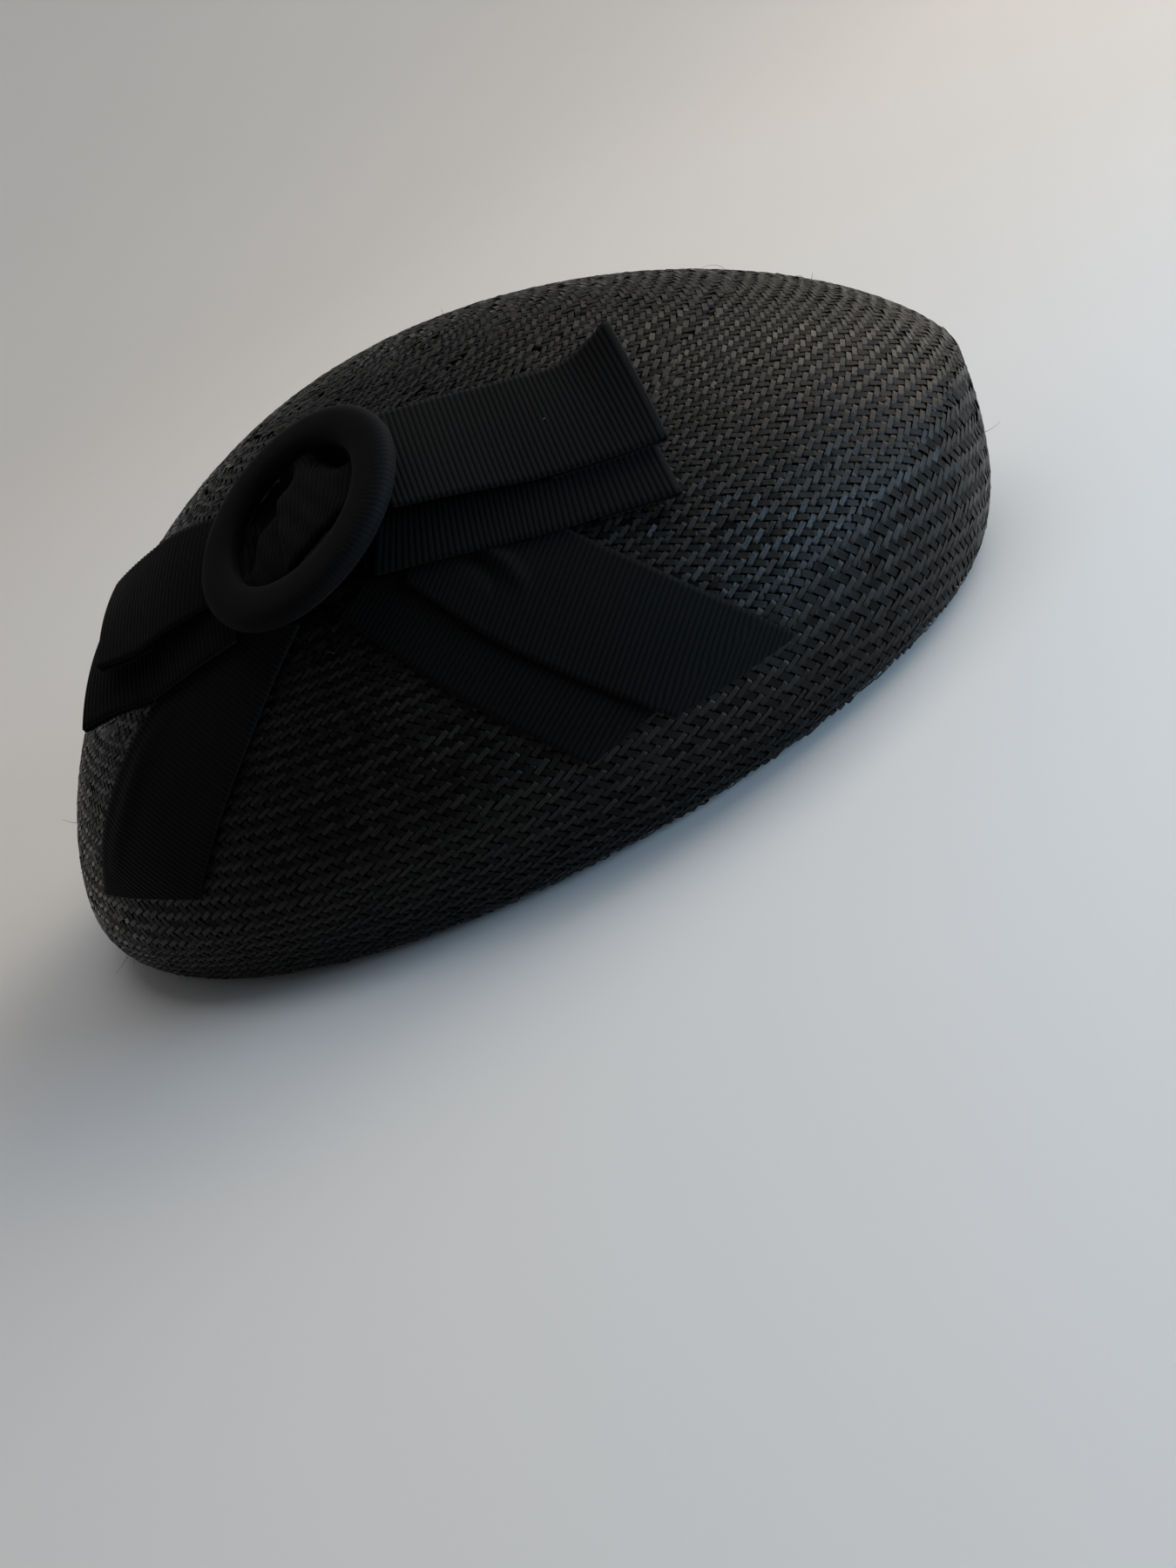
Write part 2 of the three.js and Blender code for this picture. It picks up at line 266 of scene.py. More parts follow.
def inPlace(piece, slot, *nodes):
    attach(piece, "root")
    if nodes:
        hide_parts(*nodes)
    print("made", piece.name, len(piece.data.polygons), "faces")
    return piece


def geometryTree(name, inputs):
    tree = bpy.data.node_groups.new(name, "GeometryNodeTree")
    tree.interface.new_socket("Geometry", in_out="INPUT", socket_type="NodeSocketGeometry")
    for label, value in inputs.items():
        kind = "NodeSocketInt" if isinstance(value, int) else "NodeSocketFloat"
        tree.interface.new_socket(label, in_out="INPUT", socket_type=kind)
    tree.interface.new_socket("Geometry", in_out="OUTPUT", socket_type="NodeSocketGeometry")
    sheet = NodeSheet(tree)
    sheet.add("NodeGroupInput")
    wires = {socket.name: Wire(sheet, socket) for socket in sheet.last.outputs if socket.name}
    return sheet, wires


def useTree(piece, sheet, inputs):
    modifier = piece.modifiers.new(sheet.tree.name, "NODES")
    modifier.node_group = sheet.tree
    for item in sheet.tree.interface.items_tree:
        if item.item_type == "SOCKET" and item.in_out == "INPUT" and item.name in inputs:
            modifier[item.identifier] = inputs[item.name]
    return asPlainMesh(piece)


# Straw finish: random tone and streaks on each straw, and painted sheen and painted shade between the two
# slants

warpSheenFinish = {
    "dark": (0.0006, 0.00054, 0.0005), "light": (0.0124, 0.0105, 0.0088),
    "toneShare": 0.8, "streakShare": 0.55, "patchShare": -0.25,
    "streakLength": 1.6, "streakWidth": 9.0, "streakShift": 90.0, "streakScale": 1.6, "patchScale": 26.0,
    "roughness": 0.37, "streakGloss": 0.25, "toneGloss": 0.3, "specular": 0.175,
    "bump": 0.35, "bumpDepth": 0.0003,
}
# The weft is the same straw as the warp: its darker colour is painted shade, and the warp's lighter colour is
# painted sheen
weftShadedFinish = {**warpSheenFinish, "light": (0.0068, 0.006, 0.0052), "roughness": 0.43, "specular": 0.085}


def strawMaterial(name, finish):
    material, sheet = newMaterial(name)
    uv = sheet.add("ShaderNodeAttribute", {"attribute_name": "strawUv"}, output=1)
    tone = sheet.add("ShaderNodeAttribute", {"attribute_name": "tone"}, output=2)
    lengthwise = sheet.add("ShaderNodeSeparateXYZ", None, {0: uv})
    crosswise = sheet.other(1)
    spot = sheet.add("ShaderNodeCombineXYZ", None, {
        0: lengthwise * finish["streakLength"], 1: crosswise * finish["streakWidth"],
        2: tone * finish["streakShift"],
    })
    streak = sheet.add("ShaderNodeTexNoise", None, {
        "Vector": spot, "Scale": finish["streakScale"], "Detail": 3.0, "Roughness": 0.6,
    })
    patch = noise(sheet, finish["patchScale"], 2.0)
    shade = tone * finish["toneShare"] + streak * finish["streakShare"] + patch * finish["patchShare"]
    colour = tint(sheet, shade, finish["dark"], finish["light"])
    roughness = finish["roughness"] + (streak - 0.5) * finish["streakGloss"]
    roughness = roughness + (tone - 0.5) * finish["toneGloss"]
    finishMaterial(
        sheet, {"Base Color": colour, "Roughness": roughness, "Normal": bumpOf(sheet, finish, streak)},
        {"Specular IOR Level": finish["specular"]},
    )
    return material


# Straw base: the closed wall under the woven straws, coloured darker than the straws as painted shade in the
# gaps between them

strawBase = {
    "sides": 120, "crownRows": 40, "edgeRows": 14, "sink": 0.75, "restAbove": 0.05, "probe": 0.004,
    # the dark colours are painted shade: the base is seen only in the gaps between straws
    "dark": (0.0008, 0.0007, 0.0007), "light": (0.003, 0.0026, 0.0024), "grainScale": 420.0,
    "roughness": 0.8, "specular": 0.1, "bump": 0.6, "bumpDepth": 0.0006,
}


def strawGapShadeMaterial():
    material, sheet = newMaterial("straw_base_gap_shade_finish")
    grain = noise(sheet, strawBase["grainScale"], 3.0)
    colour = tint(sheet, grain, strawBase["dark"], strawBase["light"])
    finishMaterial(
        sheet, {"Base Color": colour, "Normal": bumpOf(sheet, strawBase, grain)},
        {"Roughness": strawBase["roughness"], "Specular IOR Level": strawBase["specular"]},
    )
    return material


def makeStrawBase():
    drops = np.concatenate([
        np.arange(1, strawBase["crownRows"] + 1) / strawBase["crownRows"],
        1 + np.arange(1, strawBase["edgeRows"] + 1) / strawBase["edgeRows"],
    ])
    angles = np.arange(strawBase["sides"]) * 2 * math.pi / strawBase["sides"]
    surface = bodyPoint(drops[:, None], angles[None, :])
    reach = strawBase["probe"]
    down = bodyPoint(np.minimum(drops + reach, 2)[:, None], angles[None, :])
    down = down - bodyPoint((drops - reach)[:, None], angles[None, :])
    around = bodyPoint(drops[:, None], angles[None, :] + reach)
    around = around - bodyPoint(drops[:, None], angles[None, :] - reach)
    normal = unit(np.cross(down, around))
    normal[-1] = (0, 0, -1)
    inward = dome["rimShare"] - dome["lip"] / np.array([dome["halfLength"], dome["halfWidth"]])
    lip = np.stack([
        dome["halfLength"] * inward[0] * np.cos(angles), dome["halfWidth"] * inward[1] * np.sin(angles),
        0 * angles,
    ], -1)
    outer = surface - normal * strawBase["sink"]
    outer[-1] = surface[-1] + (0, 0, strawBase["restAbove"])
    inner = surface - normal * dome["wall"]
    rings = [*outer, lip + (0, 0, strawBase["restAbove"]), lip + (0, 0, dome["wall"]), *inner[::-1]]
    count = strawBase["sides"]
    faces = gridFaces(len(rings), count, True).tolist()
    points = np.concatenate(rings)
    top = bodyPoint(0, 0)
    points = np.concatenate([points, [top - (0, 0, strawBase["sink"])], [top - (0, 0, dome["wall"])]])
    last = len(rings) - 1
    for side in range(count):
        following = (side + 1) % count
        faces.append([len(points) - 2, side, following])
        faces.append([len(points) - 1, last * count + following, last * count + side])
    return meshObject("straw_base", points, faces, strawGapShadeMaterial())


inPlace(makeStrawBase(), "straw", "straw_shell")


# Weave: flat straws at two slants to the rings of the crown, each over two and under two

weave = {
    "lean": {"warp": 16.0, "weft": -46.0}, "pitch": {"warp": 1.57, "weft": 2.17},
    "fill": {"warp": 0.88, "weft": 0.78}, "tuck": 1.4, "crest": 0.34,
    "dip": 1.3, "dipPower": 8.0, "steps": 11, "loosen": 0.05, "roll": 0.075, "turn": 0.03,
    "lift": 0.03, "probe": 1.2,
    "bandGrowth": 1.36, "bandOverrun": 0.08, "bandRows": 500, "ringSteps": 721, "ringStride": 8,
    "seam": 1.6, "wander": 3.2, "seamWaves": ((7, 1.0), (17, 0.7), (29, 0.5)), "seamShift": 1.7,
    "clearAlong": 2.2, "clearAcross": 0.6, "topShare": 0.12, "topReach": 24, "rimRoom": 2.2, "seed": 7,
}


def ringTable():
    angles = np.linspace(-math.pi, math.pi, weave["ringSteps"])
    points = np.stack([dome["halfLength"] * np.cos(angles), dome["halfWidth"] * np.sin(angles)], -1)
    lengths = np.concatenate([[0], np.cumsum(np.linalg.norm(np.diff(points, axis=0), axis=-1))])
    return angles, lengths / lengths[-1], lengths[-1]


ringAngles, ringShares, ringLength = ringTable()


def crownBand(outer, inner):  # heights up the crown, stretched so that the straws keep their slant
    low, high = (2 if share == 1 else math.asin(share) * 2 / math.pi for share in (outer, inner))
    overrun = weave["bandOverrun"]
    drops = np.linspace(min(low + overrun, 2), max(high - overrun, 0.001), weave["bandRows"])
    points = bodyPoint(drops[:, None], ringAngles[None, ::weave["ringStride"]])
    rise = np.linalg.norm(np.diff(points, axis=0), axis=-1).mean(1)
    edge = dome["rimShare"] + (1 - dome["rimShare"]) * np.cos((np.clip(drops, 1, 2) - 1) * math.pi / 2)
    share = np.where(drops <= 1, np.sin(np.clip(drops, 0, 1) * math.pi / 2), edge)
    middle = math.sqrt(outer * inner)
    heights = np.concatenate([[0], np.cumsum(rise * middle / ((share[1:] + share[:-1]) / 2))])
    foot, top = (np.interp(-drop, -drops, heights) for drop in (low, high))
    return {
        "drops": drops, "heights": heights - foot, "top": top - foot, "length": ringLength * middle,
        "footScale": middle / outer, "topScale": middle / inner,
    }


bandShares = [1.0]
while bandShares[-1] > weave["topShare"]:
    bandShares.append(bandShares[-1] / weave["bandGrowth"])
crownBands = [crownBand(outer, inner) for outer, inner in zip(bandShares, bandShares[1:])]


def seamLine(turn, number):  # the join of two bands wanders up and down as it goes round
    shift = weave["seamShift"] * number
    waves = (size * np.sin(2 * math.pi * count * turn + shift) for count, size in weave["seamWaves"])
    return weave["wander"] * sum(waves) / 2


def weavePoint(band, spot):
    if band is None:  # the flat weave over the middle of the crown
        x, y = spot.real / dome["halfLength"], spot.imag / dome["halfWidth"]
        return bodyPoint(np.arcsin(np.hypot(x, y)) * 2 / math.pi, np.arctan2(y, x))
    drop = np.interp(spot.imag, band["heights"], band["drops"])
    return bodyPoint(drop, np.interp(spot.real / band["length"] % 1, ringShares, ringAngles))


def twillSteps():
    return [
        weave["pitch"][across] * np.exp(1j * math.radians(weave["lean"][own]))
        for own, across in (("warp", "weft"), ("weft", "warp"))
    ]


def overSpots(spans, warpStep, weftStep, kind):  # middles of the straws' upper stretches
    i, j = (grid.ravel() for grid in np.meshgrid(*spans, indexing="ij"))
    chosen = (i - j) % 4 == (3 if kind == "warp" else 0)
    i, j = i[chosen], j[chosen]
    if kind == "warp":
        return i * weftStep + (j + 0.5) * warpStep
    return (i + 0.5) * weftStep + j * warpStep


def topSpots(kind):  # the flat weave over the middle of the crown, and its slant
    warpStep, weftStep = twillSteps()
    span = np.arange(-weave["topReach"], weave["topReach"] + 1)
    spots = overSpots([span, span], warpStep, weftStep, kind)
    x, y = spots.real / dome["halfLength"], spots.imag / dome["halfWidth"]
    turn = np.interp(np.arctan2(y, x), ringAngles, ringShares)
    height = (bandShares[-1] - np.hypot(x, y)) * (dome["halfLength"] + dome["halfWidth"]) / 2
    inside = height >= seamLine(turn, len(crownBands)) - weave["seam"]
    return spots[inside], np.angle(warpStep if kind == "warp" else weftStep)


def twillSpots(band, number, kind):  # the weave of one band, and its slant
    warpStep, weftStep = twillSteps()
    axes = np.array([[weftStep.real, warpStep.real], [weftStep.imag, warpStep.imag]])
    whole = np.round(np.linalg.solve(axes, [band["length"], 0])).astype(int)
    whole[1] += (whole[0] - whole[1] + 1) % 4 - 1
    fit = band["length"] / (whole[0] * weftStep + whole[1] * warpStep)
    weftStep, warpStep = weftStep * fit, warpStep * fit
    axes = np.array([[weftStep.real, warpStep.real], [weftStep.imag, warpStep.imag]])
    low, high = band["heights"][[0, -1]]
    corners = np.linalg.solve(axes, [[0, band["length"]] * 2, [low, low, high, high]])
    ends = zip(corners.min(1), corners.max(1))
    spans = [np.arange(math.floor(first) - 2, math.ceil(last) + 3) for first, last in ends]
    spots = overSpots(spans, warpStep, weftStep, kind)
    turn = spots.real / band["length"]
    foot = seamLine(turn, number) * band["footScale"] if number else 0
    top = band["top"] + seamLine(turn, number + 1) * band["topScale"]
    inside = (spots.imag >= foot - weave["seam"]) & (spots.imag < top + weave["seam"])
    inside = inside & (turn >= 0) & (turn < 1)
    return spots[inside], np.angle(warpStep if kind == "warp" else weftStep)


def clearOf(middle, run, others):  # true where no other straw of the same slant lies in the same place
    gap = middle[:, None] - others[None]
    along = (gap * run[:, None]).sum(-1)
    across = np.linalg.norm(gap - along[..., None] * run[:, None], axis=-1)
    return ~((np.abs(along) < weave["clearAlong"]) & (across < weave["clearAcross"])).any(1)


def strawPoints(name, kind):
    rng = np.random.default_rng(weave["seed"] + (kind == "warp"))
    parts = []
    below = np.zeros((0, 3))
    for number, band in enumerate([*crownBands, None]):
        spots, slant = twillSpots(band, number, kind) if band else topSpots(kind)
        shift = rng.normal(0, weave["loosen"], len(spots))
        spots = spots + shift + 1j * rng.normal(0, weave["loosen"], len(spots))
        step = weave["probe"] * np.exp(1j * (slant + rng.normal(0, weave["turn"], len(spots))))
        middle = weavePoint(band, spots)
        span = 2 * weave["probe"]
        ahead = (weavePoint(band, spots + step) - weavePoint(band, spots - step)) / span
        beside = (weavePoint(band, spots + 1j * step) - weavePoint(band, spots - 1j * step)) / span
        kept = (middle[:, 2] > weave["rimRoom"]) & clearOf(middle, unit(ahead), below)
        if band:
            below = middle[kept & (spots.imag > band["top"] - 3 * weave["wander"])]
        parts.append([values[kept] for values in (middle, ahead, beside)])
    middle, ahead, beside = (np.concatenate(values) for values in zip(*parts))
    out = unit(np.cross(ahead, beside))
    run = unit(ahead)
    breadth = np.abs((beside * np.cross(out, run)).sum(-1))
    stretch = np.stack([np.linalg.norm(ahead, axis=-1), breadth, np.ones(len(run))], -1)
    spreads = (weave["lift"], weave["roll"], weave["roll"] / 2)
    lift, roll, pitch = (rng.normal(0, spread, (len(run), 1)) for spread in spreads)
    points = meshObject(name, middle + out * lift, [])
    setAttribute(points, "out", "FLOAT_VECTOR", unit(out + np.cross(out, run) * roll + run * pitch))
    setAttribute(points, "run", "FLOAT_VECTOR", run)
    setAttribute(points, "stretch", "FLOAT_VECTOR", stretch)
    return points


def weaveInputs(kind, across):
    crossing = math.sin(math.radians(weave["lean"]["warp"] - weave["lean"]["weft"]))
    return {
        "Straw Length": (2 * weave["pitch"][across] + weave["tuck"]) * mm,
        "Straw Width": weave["pitch"][kind] * crossing * weave["fill"][kind] * mm,
        "Crest": weave["crest"] * mm, "Dip": weave["dip"] * mm, "Seed": weave["seed"],
    }


def weaveTree(name, material, inputs):
    sheet, given = geometryTree(name, inputs)
    strip = sheet.add("GeometryNodeMeshGrid", None, {
        "Size X": given["Straw Length"], "Size Y": given["Straw Width"],
        "Vertices X": weave["steps"], "Vertices Y": 2,
    })
    stripUv = sheet.other(1)
    strip = sheet.add(
        "GeometryNodeStoreNamedAttribute", {"data_type": "FLOAT_VECTOR", "domain": "POINT"},
        {"Geometry": strip, "Name": "strawUv", "Value": stripUv},
    )
    spot = sheet.add("GeometryNodeInputPosition")
    x = sheet.add("ShaderNodeSeparateXYZ", None, {0: spot})
    along = (x / given["Straw Length"] * 2.0).size()
    height = given["Crest"] - given["Dip"] * along ** weave["dipPower"]
    rise = sheet.add("ShaderNodeCombineXYZ", None, {2: height})
    strip = sheet.add("GeometryNodeSetPosition", None, {"Geometry": strip, "Offset": rise})
    read = {}
    for label in ("out", "run", "stretch"):
        read[label] = sheet.add(
            "GeometryNodeInputNamedAttribute", {"data_type": "FLOAT_VECTOR"}, {"Name": label}
        )
    turn = sheet.add(
        "FunctionNodeAxesToRotation", {"primary_axis": "Z", "secondary_axis": "X"},
        {0: read["out"], 1: read["run"]},
    )
    laid = sheet.add("GeometryNodeInstanceOnPoints", None, {
        "Points": given["Geometry"], "Instance": strip, "Rotation": turn, "Scale": read["stretch"],
    })
    chance = sheet.add("FunctionNodeRandomValue", {"data_type": "FLOAT"}, {"Seed": given["Seed"]}, output=1)
    laid = sheet.add(
        "GeometryNodeStoreNamedAttribute", {"data_type": "FLOAT", "domain": "INSTANCE"},
        {"Geometry": laid, "Name": "tone", "Value": chance},
    )
    laid = sheet.add("GeometryNodeRealizeInstances", None, {"Geometry": laid})
    laid = sheet.add("GeometryNodeSetShadeSmooth", None, {"Geometry": laid})
    laid = sheet.add("GeometryNodeSetMaterial", None, {"Geometry": laid, "Material": material})
    sheet.add("NodeGroupOutput", None, {"Geometry": laid})
    return sheet


for kind, across, finish in (("warp", "weft", warpSheenFinish), ("weft", "warp", weftShadedFinish)):
    strawInputs = weaveInputs(kind, across)
    straws = weaveTree(kind + "_straws", strawMaterial("straw_" + kind + "_finish", finish), strawInputs)
    inPlace(useTree(strawPoints("straw_" + kind, kind), straws, strawInputs), "straw")


# Ribbed cloth

def clothMaterial(name, cloth):
    material, sheet = newMaterial(name)
    cloud = noise(sheet, cloth["cloudScale"], cloth["cloudDetail"])
    thread = noise(sheet, cloth["threadScale"], 2.0)
    rib = sheet.add("ShaderNodeAttribute", {"attribute_name": "rib"}, output=2)
    shade = cloud * cloth["cloudShare"] + thread * cloth["threadShare"]
    # the rib term darkens the valleys between ribs and lightens their crests: painted shade and painted
    # highlight over the ribs the geometry already has
    shade = shade + rib ** cloth["ribShadePower"] * cloth["ribShadeShare"] - cloth["shadeDrop"]
    colour = tint(sheet, shade, cloth["dark"], cloth["light"])
    roughness = cloth["roughness"] + (thread - 0.5) * cloth["threadGloss"]
    roughness = roughness + (cloud - 0.5) * cloth["cloudGloss"]
    finishMaterial(
        sheet, {"Base Color": colour, "Roughness": roughness, "Normal": bumpOf(sheet, cloth, thread)},
        {"Specular IOR Level": cloth["specular"], "Sheen Weight": 0.02, "Sheen Roughness": 0.5},
    )
    return material


grosgrainFinish = clothMaterial("grosgrain_finish", {
    "dark": (0.0002, 0.0002, 0.0002), "light": (0.0047, 0.0044, 0.0042),
    "cloudScale": 60.0, "cloudDetail": 3.0, "threadScale": 2600.0,
    "cloudShare": 0.2, "threadShare": 0.5, "ribShadeShare": 0.9, "ribShadePower": 2.0, "shadeDrop": 0.32,
    "roughness": 0.72, "threadGloss": 0.3, "cloudGloss": 0.0, "specular": 0.05,
    "bump": 0.5, "bumpDepth": 0.00012,
})
grosgrain = {
    "ribPitch": 1.4, "ribRows": 5, "ribHeight": 0.22, "ribRound": 0.7, "edgeWave": 0.22,
    "columns": 26, "thickness": 0.75, "foldRadius": 0.85, "foldTaper": 0.7,
}
ribInputs = {"Rib Pitch": grosgrain["ribPitch"], "Rib Height": grosgrain["ribHeight"] * mm}


def ribTree():
    sheet, given = geometryTree("grosgrain_ribs", ribInputs)
    along = sheet.add("GeometryNodeInputNamedAttribute", {"data_type": "FLOAT"}, {"Name": "along"})
    wave = (along / given["Rib Pitch"] * math.pi).sine().size()
    rib = wave ** grosgrain["ribRound"]
    normal = sheet.add("GeometryNodeInputNormal")
    height = rib * given["Rib Height"]
    push = sheet.add("ShaderNodeVectorMath", {"operation": "SCALE"}, {0: normal, "Scale": height})
    # the rib is also stored for the cloth colour, where it paints shade into the valleys
    ribbed = sheet.add(
        "GeometryNodeStoreNamedAttribute", {"data_type": "FLOAT", "domain": "POINT"},
        {"Geometry": given["Geometry"], "Name": "rib", "Value": rib},
    )
    ribbed = sheet.add("GeometryNodeSetPosition", None, {"Geometry": ribbed, "Offset": push})
    ribbed = sheet.add("GeometryNodeSetMaterial", None, {"Geometry": ribbed, "Material": grosgrainFinish})
    sheet.add("NodeGroupOutput", None, {"Geometry": ribbed})
    return sheet


ribs = ribTree()


# Ribbons: sections along a heading from the ring's middle, as in the solids
# columns: along, skew, left, right, liftLeft, liftRight

ribbonTables = {
    "loop_right_upper": {"heading": -2, "backTo": 60, "sections": [
        (23, 0, 17.4, -11.5, 12.2, 12.9), (43, 0, 16.5, -15, 8.4, 9), (57, 0, 14.3, -17.6, 7.6, 7.6),
        (75, -2, 12.3, -19, 8.6, 7.8), (88, -3, 16.2, -18.6, 14.5, 8.4)]},
    "loop_right_lower": {"heading": -11, "backTo": 70, "sections": [
        (19, 9, 12.4, -19, 6, 5.4), (40, 0, 13, -21, 4.3, 4.3), (60, 0, 13, -21.6, 4.2, 4.2),
        (76, -5, 13.5, -20, 4.3, 4.5), (88, -8, 14.5, -18.6, 5, 5)]},
    "loop_left_upper": {"heading": 160, "backTo": 54, "sections": [
        (29.5, 0, 9.8, -16, 5, 4.6), (45, 0, 13.5, -16.5, 8.5, 6.8), (60, -5, 16, -16.5, 10, 6.8),
        (74, -11, 16, -16.5, 13.5, 6.8)]},
    "loop_left_lower": {"heading": 166, "backTo": 62, "sections": [
        (28, 0, 19, -13.7, 3.6, 3), (46, 0, 20.5, -14, 4, 3.8), (60, 0, 21, -14, 4.4, 4),
        (72, -2, 20, -14, 8.5, 4.6), (84, -4, 20, -14, 12.4, 5.2)]},
    "tail_right_upper": {"heading": -47, "sections": [
        (30, 0, 15.5, -5.8, 2.6, 2.6), (55, 0, 19, -12.6, 2.5, 2.5), (73, 4, 17.5, -14.6, 2.4, 2.4),
        (97, 14, 15.3, -15.3, 2.4, 2.6), (115.5, 23, 14.6, -14.5, 3.2, 4)],
        "folds": [
            {"height": 1.25, "width": 2.2, "path": [(33, 8.6), (45, 8.4), (53, 6), (61, 1.5)]},
            {"height": -0.8, "width": 2.4, "path": [(36, 4.4), (45, 4.2), (50, 2), (54, -1.5)]}]},
    "tail_right_lower": {"heading": -59, "sections": [
        (20.5, 4, 17, -15, 1, 1), (54, 0, 16.5, -17.4, 1, 1), (78, 6, 17, -16.5, 1, 1),
        (100, 12, 19, -14.9, 1.2, 1.6)]},
    "tail_left": {"heading": 205, "sections": [
        (27, -12, 10.5, -11, 1.2, 1.3), (58, -6, 14.6, -20.5, 1.2, 2.2), (80, 0, 15.5, -22.5, 1, 4.2),
        (98, -8, 15.8, -22.5, 1, 4.2), (111, -22, 15.5, -21, 1, 2.2)],
        "folds": [
            {"height": 1.0, "width": 2.6, "path": [(56, -14.5), (75, -15.5), (92, -15), (112, -16.5)]}]},
}


def smoothTable(sections):
    rows = np.array(sections, float)
    x, y = rows[:, 0], rows[:, 1:]
    slopes = np.empty_like(y)
    slopes[1:-1] = (y[2:] - y[:-2]) / (x[2:] - x[:-2])[:, None]
    slopes[0] = 1.5 * (y[1] - y[0]) / (x[1] - x[0]) - slopes[1] / 2
    slopes[-1] = 1.5 * (y[-1] - y[-2]) / (x[-1] - x[-2]) - slopes[-2] / 2

    def at(along):
        along = np.clip(along, x[0], x[-1])
        k = np.clip(np.searchsorted(x, along, side="right") - 1, 0, len(x) - 2)
        span = x[k + 1] - x[k]
        t = ((along - x[k]) / span)[..., None]
        span = span[..., None]
        value = (
            (1 + 2 * t) * (1 - t) ** 2 * y[k] + t * (1 - t) ** 2 * span * slopes[k]
            + t ** 2 * (3 - 2 * t) * y[k + 1] + t ** 2 * (t - 1) * span * slopes[k + 1]
        )
        return [value[..., c] for c in range(value.shape[-1])]

    return at


def softFold(fold, along, across):  # a ridge along a path, dying away at both ends
    path = np.array(fold["path"], float)
    share = np.clip((along - path[0, 0]) / (path[-1, 0] - path[0, 0]), 0, 1)
    middle = np.interp(along, path[:, 0], path[:, 1])
    taper = np.sin(math.pi * share) ** grosgrain["foldTaper"]
    return fold["height"] * taper * np.exp(-((across - middle) / fold["width"]) ** 2)


def ribbonGrid(table):
    heading, sections, backTo = table["heading"], table["sections"], table.get("backTo")
    at = smoothTable(sections)
    step = grosgrain["ribPitch"] / grosgrain["ribRows"]
    share = np.linspace(0, 1, grosgrain["columns"])[None, :]
    start, end = sections[0][0], sections[-1][0]
    radius = grosgrain["foldRadius"]
    if backTo:
        end -= radius
        total = end - start + math.pi * radius + end - backTo
        run = np.arange(math.ceil(total / step) + 1) * step
        out = run - (end - start)
        bend = np.clip(out / radius, 0, math.pi)
        back = np.clip(out - math.pi * radius, 0, None)
        base = np.minimum(start + run, end) - back
        along = (base + radius * np.sin(bend))[:, None]
        drop = (radius * (1 - np.cos(bend)))[:, None]
        skew, left, right, liftLeft, liftRight = at(base[:, None])
        along = along + skew * (0.5 - share)
        rib = np.broadcast_to(run[:, None], along.shape)
    else:
        firstSkew, lastSkew = sections[0][1], sections[-1][1]
        run = np.arange(start - abs(firstSkew) / 2, end + abs(lastSkew) / 2 + step, step)[:, None]
        low = start + firstSkew * (0.5 - share)
        high = end + lastSkew * (0.5 - share)
        along = np.clip(run, low, high)
        base = along + 0 * share
        for _ in range(4):
            base = along - at(base)[0] * (0.5 - share)
        skew, left, right, liftLeft, liftRight = at(base)
        drop = 0
        rib = along
    across = left + (right - left) * share
    lift = liftLeft + (liftRight - liftLeft) * share - drop
    for fold in table.get("folds", ()):
        lift = lift + softFold(fold, along, across)
    wave = np.abs(np.sin(rib / grosgrain["ribPitch"] * math.pi)) * grosgrain["edgeWave"]
    edge = np.where((share == 0) | (share == 1), wave, 0)
    across = across + np.where(share < 0.5, edge, -edge)
    shape = np.broadcast_shapes(along.shape, across.shape, lift.shape)
    along, across, lift, rib = (np.broadcast_to(v, shape) for v in (along, across, lift, rib))
    return placeOnStraw(heading, along, across, lift), rib


def clothSize(points):  # width and length of a grid of points laid out flat, in metres
    down = np.diff(points, axis=0)
    side = np.diff(points, axis=1)
    area = np.linalg.norm(np.cross(down[:, :-1], side[:-1]), axis=-1).sum()
    length = np.linalg.norm(down, axis=-1).sum(0).max()
    return area / length * mm, length * mm


def makeRibbon(name, table):
    points, rib = ribbonGrid(table)
    rows, columns = rib.shape
    faces = gridFaces(rows, columns)[:, ::-1]
    flat = points.reshape(-1, 3)
    key = np.round(flat, 4)
    _, first, inverse = np.unique(key, axis=0, return_index=True, return_inverse=True)
    merged = inverse.reshape(-1)[faces]
    kept = []
    for face in merged.tolist():
        corners = list(dict.fromkeys(face))
        if len(corners) > 2:
            kept.append(corners)
    ribbon = meshObject(name, flat[first], kept, grosgrainFinish)
    setAttribute(ribbon, "along", "FLOAT", rib.ravel()[first])
    return ribbedCloth(ribbon), clothSize(points)


def ribbedCloth(ribbon, ribHeight=grosgrain["ribHeight"]):
    useTree(ribbon, ribs, {**ribInputs, "Rib Height": ribHeight * mm})
    thick = ribbon.modifiers.new("thickness", "SOLIDIFY")
    thick.thickness = grosgrain["thickness"] * mm
    thick.offset = 0
    return asPlainMesh(ribbon)


for name, table in ribbonTables.items():
    ribbon, cut = makeRibbon(name + "_ribbon", table)
    inPlace(ribbon, "ribbon", name)


# Ring under ribbed cloth

ring = {
    "radius": 26.0, "oval": 1.2, "ovalAt": 2.0, "halfBand": 5.7, "wider": 0.8, "widerAt": -70.0,
    "rise": 3.4, "sag": 2.9, "full": 0.72, "lift": 10.5, "forward": -0.9, "upward": 2.5,
    "tiltBack": 9.0, "tiltSide": 9.0, "ribCount": 140, "ribHeight": 0.09, "ribInside": 0.12,
    "sides": 980, "sectionSides": 32,
}
ringFinish = clothMaterial("ring_cloth_finish", {
    "dark": (0.0004, 0.0004, 0.0005), "light": (0.0025, 0.0025, 0.0028),
    "cloudScale": 90.0, "cloudDetail": 4.0, "threadScale": 2200.0,
    "cloudShare": 0.5, "threadShare": 0.35, "ribShadeShare": 0.15, "ribShadePower": 1.0, "shadeDrop": 0.0,
    "roughness": 0.74, "threadGloss": 0.0, "cloudGloss": 0.2, "specular": 0.07,
    "bump": 0.6, "bumpDepth": 0.00015,
})


